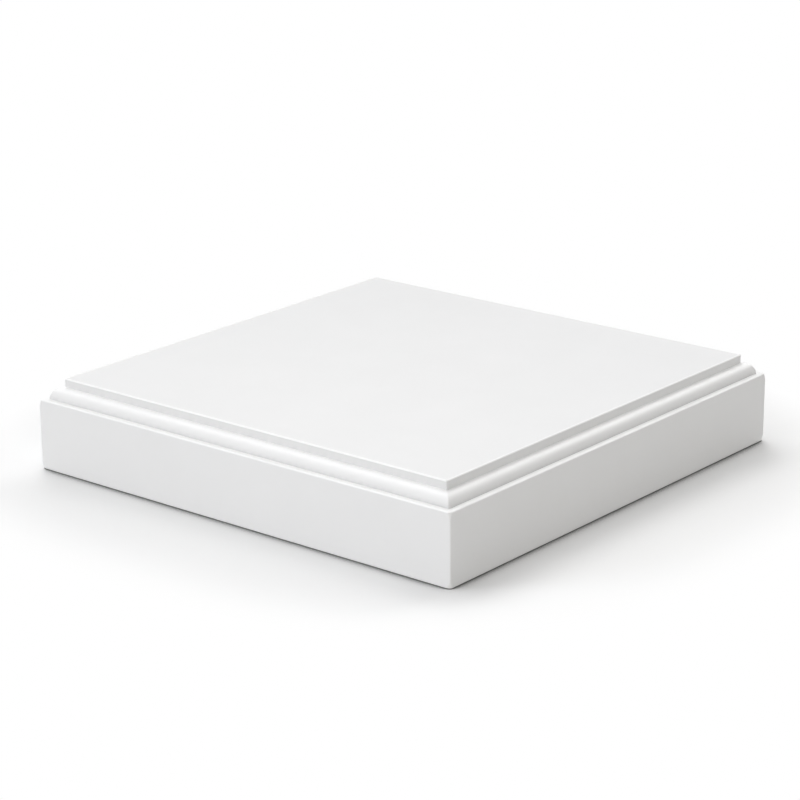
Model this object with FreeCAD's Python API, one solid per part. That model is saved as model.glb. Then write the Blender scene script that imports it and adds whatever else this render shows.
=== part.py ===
import FreeCAD, Part
import math
import os

from FreeCAD import Vector

# Newel post cap: a square block moulded in one piece, with a plain fascia, a quarter-round
# bead set back on a narrow shelf, and a flat raised top.
# Frame: +Z up, sides along X and Y, origin at the centre of the flat underside.
# Every size is in millimetres.

# Driving dimensions
cap_width = 355.6           # side of the square over the fascia, 14 in
fascia_height = 49.8        # plain upright band round the cap
shelf_width = 4.75          # level step between fascia and bead, 3/16 in
bead_radius = 8.0           # quarter-round bead, 5/16 in
riser_height = 6.0          # upright edge of the raised top
corner_edge_radius = 2.5    # upright corners of the fascia
foot_edge_radius = 2.0      # lower arris of the fascia
rim_edge_radius = 1.2       # upper arris of the fascia, at the shelf
mitre_edge_radius = 3.0     # where two lengths of bead meet at a corner
top_edge_radius = 0.7       # crisper arrises of the raised top

# Places that follow from them, as distances out from the centre and heights
half_width = cap_width / 2
bead_foot = half_width - shelf_width
riser_face = bead_foot - bead_radius
bead_top = fascia_height + bead_radius
cap_height = bead_top + riser_height

# How far each run of moulding passes the cap before the mitres are cut
run_allowance = 10.0

# Two places closer than this are the same place when arrises are picked
same_place = 0.01


def edge_profile():
    """One side's moulding in the XZ plane: fascia, shelf and bead."""
    arc_middle = bead_radius * math.sqrt(0.5)
    fascia_foot = Vector(half_width, 0, 0)
    fascia_head = Vector(half_width, 0, fascia_height)
    bead_start = Vector(bead_foot, 0, fascia_height)
    bead_middle = Vector(riser_face + arc_middle, 0, fascia_height + arc_middle)
    bead_end = Vector(riser_face, 0, bead_top)
    return [
        Part.makeLine(fascia_foot, fascia_head),
        Part.makeLine(fascia_head, bead_start),
        Part.Arc(bead_start, bead_middle, bead_end).toShape(),
    ]


def block_section():
    """Upright section of the block under the raised top: the moulding and its mirror."""
    right = edge_profile()
    left = [edge.mirror(Vector(0, 0, 0), Vector(1, 0, 0)) for edge in right]
    underside = Part.makeLine(Vector(-half_width, 0, 0), Vector(half_width, 0, 0))
    bed = Part.makeLine(Vector(-riser_face, 0, bead_top), Vector(riser_face, 0, bead_top))
    outline = Part.Wire(Part.__sortEdges__(right + left + [underside, bed]))
    return Part.Face(outline)


def arrises(solid, start, end):
    """Edges on all four sides that run from one place to another.

    A place is its distance out from the centre, measured square to the nearest side, and
    its height.
    """
    found = []
    for edge in solid.Edges:
        ends = [
            (max(abs(vertex.X), abs(vertex.Y)), vertex.Z)
            for vertex in sorted(edge.Vertexes, key=lambda vertex: vertex.Z)
        ]
        misses = [
            max(abs(place[0] - wanted[0]), abs(place[1] - wanted[1]))
            for place, wanted in zip(ends, (start, end))
        ]
        if max(misses) < same_place:
            found.append(edge)
    return found


def moulded_block():
    """The section run both ways: the runs meet in mitres where they cross."""
    run_length = cap_width + 2 * run_allowance
    run_along_y = block_section().extrude(Vector(0, run_length, 0))
    run_along_y.translate(Vector(0, -run_length / 2, 0))
    run_along_x = run_along_y.copy()
    run_along_x.rotate(Vector(0, 0, 0), Vector(0, 0, 1), 90)
    block = run_along_x.common(run_along_y).removeSplitter()

    mitres = arrises(block, (bead_foot, fascia_height), (riser_face, bead_top))
    block = block.makeFillet(mitre_edge_radius, mitres)

    corners = arrises(block, (half_width, 0), (half_width, fascia_height))
    block = block.makeFillet(corner_edge_radius, corners)
    foot = arrises(block, (half_width, 0), (half_width, 0))
    block = block.makeFillet(foot_edge_radius, foot)
    rim = arrises(block, (half_width, fascia_height), (half_width, fascia_height))
    return block.makeFillet(rim_edge_radius, rim)


def raised_top():
    """The flat top's slab, which rises from the back of the bead."""
    side = 2 * riser_face
    slab = Part.makeBox(side, side, riser_height, Vector(-riser_face, -riser_face, bead_top))
    corners = arrises(slab, (riser_face, bead_top), (riser_face, cap_height))
    brink = arrises(slab, (riser_face, cap_height), (riser_face, cap_height))
    return slab.makeFillet(top_edge_radius, corners + brink)


def newel_cap():
    """Block and raised top as the one solid that comes out of the mould."""
    return moulded_block().fuse(raised_top()).removeSplitter().Solids[0]


os.makedirs("parts", exist_ok=True)
newel_cap().exportStep("parts/newel_cap.step")
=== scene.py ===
import math

import bmesh
import bpy
import numpy
from mathutils import Matrix, Vector


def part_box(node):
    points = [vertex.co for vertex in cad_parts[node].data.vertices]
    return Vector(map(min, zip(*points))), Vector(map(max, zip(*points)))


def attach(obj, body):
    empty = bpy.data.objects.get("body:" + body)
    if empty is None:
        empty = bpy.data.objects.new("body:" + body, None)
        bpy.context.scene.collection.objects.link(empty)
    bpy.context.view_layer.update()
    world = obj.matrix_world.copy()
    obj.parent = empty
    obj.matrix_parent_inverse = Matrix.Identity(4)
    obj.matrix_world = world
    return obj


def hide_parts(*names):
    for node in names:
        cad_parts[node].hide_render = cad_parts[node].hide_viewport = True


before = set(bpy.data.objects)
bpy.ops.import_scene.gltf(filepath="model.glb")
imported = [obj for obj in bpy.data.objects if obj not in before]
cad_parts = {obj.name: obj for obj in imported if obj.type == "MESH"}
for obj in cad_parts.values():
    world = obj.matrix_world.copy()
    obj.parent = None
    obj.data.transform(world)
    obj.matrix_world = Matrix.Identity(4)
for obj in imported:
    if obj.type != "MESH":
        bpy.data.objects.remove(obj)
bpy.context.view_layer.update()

# A newel post cap, moulded in one piece of dense polyurethane and sprayed with white primer.
# Lengths are in metres. The cap's side and height come from the CAD part in model.glb.

MM = 0.001
cap_low, cap_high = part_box("newel_cap")

# The moulding, from the fascia inwards
half_side = (cap_high.x - cap_low.x) / 2
cap_height = cap_high.z - cap_low.z
shelf_width = 4.75 * MM
bead_radius = 8.0 * MM
riser_height = 6.0 * MM
riser_face = half_side - shelf_width - bead_radius
fascia_height = cap_height - bead_radius - riser_height

# Softened arrises, as the photograph shows them: the upright corners of the fascia are crisp,
# and rounder where they meet the foot and the rim. The CAD part's have one radius all along
corner_edge_radius = 1.2 * MM
corner_end_radius = 3.2 * MM
corner_end_length = 5.0 * MM
foot_edge_radius = 1.6 * MM
rim_edge_radius = 1.2 * MM
mitre_edge_radius = 1.2 * MM
riser_corner_radius = 1.0 * MM
top_edge_radius = 0.5 * MM

# How many facets make an arris, the bead, a corner seen from above and a corner's rounder end
arris_steps = 8
bead_steps = 40
corner_steps = 8
corner_end_steps = 5

# Smallest corner radius, points closer than this are one, and the crease that stays hard
# under smooth shading
corner_point = 1e-6
merge_distance = 2e-6
crease_angle = math.radians(35)

# Painted light, 0 to 1, kept with the mesh: the primer's own colour at 0.5, painted shade below it
# and a painted highlight above it
painted_light_layer = "painted_light"
# Deep painted shade, lighter painted shade, the primer's own colour, and a painted highlight
deep_painted_shade = 0.1
mild_painted_shade = 0.35
plain_primer = 0.5
painted_highlight = 1.0
# How the painted light runs round the bead, from painted shade at its foot to a painted highlight
# on its crown, and round the fascia's rim up to a painted highlight
bead_painted_light = ((0.0, deep_painted_shade), (0.15, mild_painted_shade), (0.62, painted_highlight))
rim_painted_light = ((0.2, plain_primer), (0.6, painted_highlight))
# Bands in which the painted light changes at the bead's foot and crown, below the brink, and on the
# top, where the brink's painted highlight fades out
painted_light_step = 0.05 * MM
brink_painted_light_fade = 0.3 * MM
top_highlight_fade = 1.4 * MM

# The primer's colour, its own in the middle, with painted shade below it and a painted highlight
# above it, and how uneven it is: a faint mottle in patches, and the orange peel that a spray gun
# leaves, 2 to 3 mm from bump to bump
primer_and_painted_light_tones = ((0.0, "#d0d0d0"), (0.5, "#ebebeb"), (1.0, "#fcfcfc"))
mottle_size = 45 * MM
mottle_shades = (0.985, 1.0)
peel_size = 2.5 * MM
peel_depth = 0.05 * MM
peel_strength = 0.15
primer_roughness = (0.37, 0.43)
primer_ior = 1.5
# The part of a noise's range that holds nearly all of its values
noise_range = (0.3, 0.7)


# Colours and nodes

def linear(hex_colour):
    """An sRGB colour written as hex, as the linear values that a shader takes."""
    channels = [int(hex_colour[i:i + 2], 16) / 255 for i in (1, 3, 5)]
    return [c / 12.92 if c <= 0.04045 else ((c + 0.055) / 1.055) ** 2.4 for c in channels] + [1.0]


def add_node(tree, kind, settings=None, links=None):
    """Adds one node: settings name its properties or its input sockets, links its sources."""
    node = tree.nodes.new(kind)
    for name, value in (settings or {}).items():
        if isinstance(name, str) and hasattr(node, name):
            setattr(node, name, value)
        else:
            node.inputs[name].default_value = value
    for name, source in (links or {}).items():
        tree.links.new(source, node.inputs[name])
    return node


def set_ramp(ramp, tones):
    """Gives a colour ramp its (position, colour) stops."""
    for position, colour in tones[1:-1]:
        ramp.elements.new(position)
    for element, (position, colour) in zip(ramp.elements, tones):
        element.position = position
        element.color = linear(colour)


def seen_rays(tree):
    """1 for the rays by which the eye, a mirror or glass sees a surface, and 0 for light."""
    path = add_node(tree, "ShaderNodeLightPath")
    seen = path.outputs["Is Camera Ray"]
    for kind in ("Is Glossy Ray", "Is Transmission Ray"):
        either = add_node(
            tree, "ShaderNodeMath", {"operation": "MAXIMUM"}, {0: seen, 1: path.outputs[kind]}
        )
        seen = either.outputs["Value"]
    return seen


def new_material(name):
    """A material with an empty node tree."""
    material = bpy.data.materials.new(name)
    material.use_nodes = True
    material.node_tree.nodes.clear()
    return material


# The cap

def quarter_round(middle_reach, middle_height, radius, start, steps):
    """Places along a quarter circle of the section, from the start angle upwards."""
    angles = [start + math.pi / 2 * step / steps for step in range(steps + 1)]
    return [
        (middle_reach + radius * math.cos(a), middle_height + radius * math.sin(a))
        for a in angles
    ]


def painted_light_at(stops, share):
    """The painted light a share of the way round an arc, from (share, painted light) stops."""
    shares, coats = zip(*stops)
    return float(numpy.interp(share, shares, coats))


def fascia_corner_radius(height):
    """Radius of the fascia's upright corners at a height."""
    to_end = min(height - foot_edge_radius, fascia_height - rim_edge_radius - height)
    share = min(max(1 - to_end / corner_end_length, 0), 1)
    return corner_edge_radius + (corner_end_radius - corner_edge_radius) * share ** 2


def moulding_levels():
    """The section as (reach, height, corner radius, painted light) levels, from underside to top.
    The painted light puts painted shade on the riser and the bead's foot, and painted highlights on
    the rim, the shelf, the bead's crown and the brink.

    Round the foot and the rim the corner radius shrinks with the reach, so these arrises
    are equally wide all round the cap. Round the brink it runs out to nothing at the top.
    """
    brink_inset = riser_face - top_edge_radius
    brink_height = cap_height - top_edge_radius
    riser_foot = fascia_height + bead_radius
    rim_inset = half_side - rim_edge_radius
    rim_height = fascia_height - rim_edge_radius
    foot_inset = half_side - foot_edge_radius
    foot = quarter_round(foot_inset, foot_edge_radius, foot_edge_radius, -math.pi / 2, arris_steps)
    rim = quarter_round(rim_inset, rim_height, rim_edge_radius, 0, arris_steps)
    bead = quarter_round(riser_face, fascia_height, bead_radius, 0, bead_steps)
    brink = quarter_round(brink_inset, brink_height, top_edge_radius, 0, arris_steps)

    steps = range(1, corner_end_steps + 1)
    to_ends = [corner_end_length * step / corner_end_steps for step in steps]
    heights = [foot_edge_radius + to_end for to_end in to_ends]
    heights += [fascia_height - rim_edge_radius - to_end for to_end in reversed(to_ends)]

    levels = []
    for reach, height in foot:
        levels.append((reach, height, corner_end_radius - half_side + reach, plain_primer))
    for height in heights:
        levels.append((half_side, height, fascia_corner_radius(height), plain_primer))
    for step, (reach, height) in enumerate(rim):
        painted_light = painted_light_at(rim_painted_light, step / arris_steps)
        levels.append((reach, height, corner_end_radius - half_side + reach, painted_light))
    # Painted highlight on the shelf
    levels.append((bead[0][0] + painted_light_step, fascia_height, mitre_edge_radius, painted_highlight))
    for step, (reach, height) in enumerate(bead):
        mitre_radius = mitre_edge_radius * (reach - riser_face) / bead_radius
        painted_light = painted_light_at(bead_painted_light, step / bead_steps)
        levels.append((reach, height, max(mitre_radius, riser_corner_radius), painted_light))
    # Painted shade on the riser
    for height in (riser_foot + painted_light_step, brink_height - brink_painted_light_fade):
        levels.append((riser_face, height, riser_corner_radius, mild_painted_shade))
    for reach, height in brink:
        corner_radius = riser_corner_radius * (reach - brink_inset) / top_edge_radius
        levels.append((reach, height, corner_radius, painted_highlight))
    return levels


def set_painted_light(mesh, known_verts, painted_light):
    """Gives its painted light to each vertex that isn't among the known ones."""
    layer = mesh.verts.layers.float[painted_light_layer]
    for vert in mesh.verts:
        if vert not in known_verts:
            vert[layer] = painted_light


def rounded_square(mesh, reach, height, corner_radius, painted_light):
    """One level of the moulding: a square loop with rounded corners. Returns its edges."""
    known_edges = set(mesh.edges)
    known_verts = set(mesh.verts)
    place = Matrix.Translation((0, 0, height)) @ Matrix.Rotation(math.pi / 4, 4, "Z")
    square = bmesh.ops.create_circle(
        mesh, segments=4, radius=reach * math.sqrt(2), matrix=place
    )
    bmesh.ops.bevel(
        mesh, geom=square["verts"], offset=max(corner_radius, corner_point), offset_type="OFFSET",
        segments=corner_steps, profile=0.5, affect="VERTICES", material=-1,
    )
    set_painted_light(mesh, known_verts, painted_light)
    return [edge for edge in mesh.edges if edge not in known_edges]


def make_cap():
    """The whole cap, level by level, closed by its underside and its flat top."""
    mesh = bmesh.new()
    mesh.verts.layers.float.new(painted_light_layer)
    loops = [rounded_square(mesh, *level) for level in moulding_levels()]
    for lower, upper in zip(loops, loops[1:]):
        bmesh.ops.bridge_loops(mesh, edges=lower + upper)
    for loop in (loops[0], loops[-1]):
        bmesh.ops.contextual_create(mesh, geom=loop)
    bmesh.ops.remove_doubles(mesh, verts=mesh.verts, dist=merge_distance)
    bmesh.ops.recalc_face_normals(mesh, faces=mesh.faces)

    top = max(mesh.faces, key=lambda face: face.calc_center_median().z)
    # The top's middle takes the primer's own colour, so the brink's painted highlight fades out
    # across a ring
    known_verts = set(mesh.verts)
    bmesh.ops.inset_individual(mesh, faces=[top], thickness=top_highlight_fade, use_even_offset=True)
    set_painted_light(mesh, known_verts, plain_primer)

    for face in mesh.faces:
        face.smooth = True
    for edge in mesh.edges:
        edge.smooth = edge.calc_face_angle(0) < crease_angle

    data = bpy.data.meshes.new("newel_cap_moulding")
    mesh.to_mesh(data)
    mesh.free()
    cap = bpy.data.objects.new("newel_cap_moulding", data)
    bpy.context.scene.collection.objects.link(cap)
    weighting = cap.modifiers.new("flats stay flat", "WEIGHTED_NORMAL")
    weighting.keep_sharp = True
    weighting.weight = 100
    return cap


def primed_urethane():
    """White primer sprayed on moulded urethane: satin, with a faint orange peel and mottle.

    Painted highlights make the ledges and edges whiter, and painted shade darkens the riser and the
    corner at the foot of the bead.
    """
    material = new_material("primed_urethane")
    tree = material.node_tree
    place = add_node(tree, "ShaderNodeTexCoord").outputs["Object"]
    noise_low, noise_high = noise_range
    darkest, lightest = mottle_shades
    smoothest, roughest = primer_roughness

    # The mesh's painted light picks painted shade or a painted highlight out of the primer's tones
    painted_light = add_node(tree, "ShaderNodeAttribute", {"attribute_name": painted_light_layer})
    primer = add_node(tree, "ShaderNodeValToRGB", {}, {"Fac": painted_light.outputs["Fac"]})
    set_ramp(primer.color_ramp, primer_and_painted_light_tones)

    mottle = add_node(
        tree, "ShaderNodeTexNoise",
        {"Scale": 1 / mottle_size, "Detail": 3.0, "Roughness": 0.5}, {"Vector": place},
    )
    shade = add_node(
        tree, "ShaderNodeMapRange",
        {"From Min": noise_low, "From Max": noise_high, "To Min": darkest, "To Max": lightest},
        {"Value": mottle.outputs["Fac"]},
    )
    colour = add_node(
        tree, "ShaderNodeVectorMath", {"operation": "SCALE"},
        {"Vector": primer.outputs["Color"], "Scale": shade.outputs["Result"]},
    )

    peel = add_node(
        tree, "ShaderNodeTexNoise",
        {"Scale": 1 / peel_size, "Detail": 2.0, "Roughness": 0.55}, {"Vector": place},
    )
    roughness = add_node(
        tree, "ShaderNodeMapRange",
        {"From Min": noise_low, "From Max": noise_high, "To Min": smoothest, "To Max": roughest},
        {"Value": peel.outputs["Fac"]},
    )
    bump = add_node(
        tree, "ShaderNodeBump",
        {"Strength": peel_strength, "Distance": peel_depth}, {"Height": peel.outputs["Fac"]},
    )
    shader = add_node(
        tree, "ShaderNodeBsdfPrincipled", {"IOR": primer_ior},
        {
            "Base Color": colour.outputs["Vector"],
            "Roughness": roughness.outputs["Result"],
            "Normal": bump.outputs["Normal"],
        },
    )
    add_node(tree, "ShaderNodeOutputMaterial", {}, {"Surface": shader.outputs["BSDF"]})
    return material


# Floor, light and camera

# Half the side of the whole floor
floor_reach = 6.0

# Band in which the floor's shadow fades to plain white: a rounded square round the cap, its
# distances counted from the sides of a small square whose half side is the core
shadow_core = 45 * MM
shadow_start = 180 * MM
shadow_end = 255 * MM

# Painted contact shadow that deepens the floor's real one: its colour by how open it lies, where
# only what is nearer than the reach closes it in; and the grey that it throws back onto the cap
contact_reach = 24 * MM
contact_samples = 16
painted_contact_shadow = (
    (0.0, "#5a5a5a"), (0.5, "#808080"), (0.56, "#cfcfcf"), (0.62, "#f0f0f0"), (0.8, "#fdfdfd"),
    (1.0, "#ffffff"),
)
floor_bounce = "#dadada"

# Lamps far off, as wide as large soft boxes: azimuth and elevation in degrees, strength and
# colour. The right side, which the left lamp doesn't reach, comes out slightly warmer
far_lamps = {
    "front_low": (315, 12, 0.48, "#fffdf9"),
    "left_low": (225, 12, 0.42, "#f6f9ff"),
    "behind_right": (90, 30, 0.30, "#ffffff"),
    "behind_high": (135, 50, 0.34, "#ffffff"),
    "behind_left": (180, 50, 0.17, "#ffffff"),
}
far_lamp_width = math.radians(30)
far_lamp_distance = 2.0
# Soft boxes near the cap: azimuth and elevation, then distance, width, height and strength
near_lamps = {
    "over_left": (270, 65, 0.9, 0.5, 0.5, 1.62),
    "over_right": (0, 65, 0.9, 0.5, 0.5, 0.85),
}
# Lamps that the satin doesn't mirror: their sheen would burn out the top seen from behind
sheenless_lamps = ("front_low", "left_low")
lamp_aim = Vector((0, 0, 0.03))

# Camera: its place, its turn in degrees (round the upright, above the level, about its own
# axis) and its lens in millimetres
camera_place = Vector((1085.5, -1330.1, 598.3)) * MM
camera_turn = (39.384, 18.028, -0.369)
camera_lens = 117.89


def white_floor():
    """Matt white floor with a painted contact shadow that deepens its real one. Beyond the shadow
    it is plain white.
    """
    material = new_material("white_floor")
    tree = material.node_tree
    place = add_node(tree, "ShaderNodeTexCoord").outputs["Object"]
    seen = seen_rays(tree)

    openness = add_node(
        tree, "ShaderNodeAmbientOcclusion",
        {"samples": contact_samples, "Distance": contact_reach},
    )
    # Painted contact shadow, darker where the floor is closed in
    contact = add_node(tree, "ShaderNodeValToRGB", {}, {"Fac": openness.outputs["AO"]})
    set_ramp(contact.color_ramp, painted_contact_shadow)

    colour = add_node(
        tree, "ShaderNodeMix", {"data_type": "RGBA"},
        {"Factor": seen, "B": contact.outputs["Color"]},
    )
    colour.inputs["A"].default_value = linear(floor_bounce)
    matt = add_node(tree, "ShaderNodeBsdfDiffuse", {}, {"Color": colour.outputs["Result"]})

    outwards = add_node(tree, "ShaderNodeVectorMath", {"operation": "ABSOLUTE"}, {0: place})
    past_core = add_node(
        tree, "ShaderNodeVectorMath", {"operation": "SUBTRACT", 1: (shadow_core, shadow_core, 0)},
        {0: outwards.outputs["Vector"]},
    )
    beyond = add_node(
        tree, "ShaderNodeVectorMath", {"operation": "MAXIMUM"}, {0: past_core.outputs["Vector"]}
    )
    distance = add_node(
        tree, "ShaderNodeVectorMath", {"operation": "LENGTH"}, {0: beyond.outputs["Vector"]}
    )
    clear = add_node(
        tree, "ShaderNodeMapRange",
        {"interpolation_type": "SMOOTHSTEP", "From Min": shadow_start, "From Max": shadow_end},
        {"Value": distance.outputs["Value"]},
    )
    seen_clear = add_node(
        tree, "ShaderNodeMath", {"operation": "MULTIPLY"},
        {0: clear.outputs["Result"], 1: seen},
    )
    white = add_node(tree, "ShaderNodeEmission", {"Color": linear("#ffffff"), "Strength": 1.0})
    mix = add_node(
        tree, "ShaderNodeMixShader", {},
        {"Fac": seen_clear.outputs["Value"], 1: matt.outputs["BSDF"], 2: white.outputs["Emission"]},
    )
    add_node(tree, "ShaderNodeOutputMaterial", {}, {"Surface": mix.outputs["Shader"]})
    return material


def make_floor():
    """Level floor under the cap."""
    mesh = bmesh.new()
    bmesh.ops.create_grid(mesh, x_segments=1, y_segments=1, size=floor_reach)
    data = bpy.data.meshes.new("floor")
    mesh.to_mesh(data)
    mesh.free()
    floor = bpy.data.objects.new("floor", data)
    bpy.context.scene.collection.objects.link(floor)
    floor.location.z = cap_low.z
    data.materials.append(white_floor())
    return floor


def make_world():
    """Surroundings that give no light, and are white where the eye, a mirror or glass sees them."""
    world = bpy.data.worlds.new("studio")
    bpy.context.scene.world = world
    world.use_nodes = True
    tree = world.node_tree
    tree.nodes.clear()
    light = add_node(tree, "ShaderNodeBackground", {"Color": linear("#ffffff"), "Strength": 0.0})
    seen = add_node(tree, "ShaderNodeBackground", {"Color": linear("#ffffff"), "Strength": 1.0})
    mix = add_node(
        tree, "ShaderNodeMixShader", {},
        {"Fac": seen_rays(tree), 1: light.outputs["Background"],
         2: seen.outputs["Background"]},
    )
    add_node(tree, "ShaderNodeOutputWorld", {}, {"Surface": mix.outputs["Shader"]})


def hang_lamp(name, data, azimuth, elevation, distance):
    """Puts a lamp at its azimuth and elevation, facing the cap."""
    around = math.radians(azimuth)
    up = math.radians(elevation)
    direction = Vector(
        (math.cos(around) * math.cos(up), math.sin(around) * math.cos(up), math.sin(up))
    )
    lamp = bpy.data.objects.new(name, data)
    lamp.location = lamp_aim + direction * distance
    lamp.rotation_euler = direction.to_track_quat("Z", "Y").to_euler()
    lamp.visible_camera = False
    lamp.visible_glossy = name not in sheenless_lamps
    bpy.context.scene.collection.objects.link(lamp)


def make_lamps():
    """A far lamp of strength 1 lights a white surface that faces it to plain white.

    A near lamp of strength 1 is itself as bright as plain white.
    """
    for name, (azimuth, elevation, strength, colour) in far_lamps.items():
        data = bpy.data.lights.new(name, "SUN")
        data.angle = far_lamp_width
        data.energy = math.pi * strength
        data.color = linear(colour)[:3]
        hang_lamp(name, data, azimuth, elevation, far_lamp_distance)
    for name, (azimuth, elevation, distance, width, height, strength) in near_lamps.items():
        data = bpy.data.lights.new(name, "AREA")
        data.shape = "RECTANGLE"
        data.size = width
        data.size_y = height
        data.energy = math.pi * width * height * strength
        hang_lamp(name, data, azimuth, elevation, distance)


def make_camera():
    """Camera at the photograph's angle."""
    yaw, elevation, roll = [math.radians(angle) for angle in camera_turn]
    data = bpy.data.cameras.new("camera")
    data.lens = camera_lens
    camera = bpy.data.objects.new("camera", data)
    bpy.context.scene.collection.objects.link(camera)
    camera.matrix_world = (
        Matrix.Translation(camera_place)
        @ Matrix.Rotation(yaw, 4, "Z")
        @ Matrix.Rotation(math.pi / 2 - elevation, 4, "X")
        @ Matrix.Rotation(roll, 4, "Z")
    )
    bpy.context.scene.camera = camera


cap = make_cap()
cap.data.materials.append(primed_urethane())
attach(cap, "root")
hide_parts("newel_cap")

make_floor()
make_world()
make_lamps()
make_camera()
bpy.context.scene.view_settings.view_transform = "Standard"
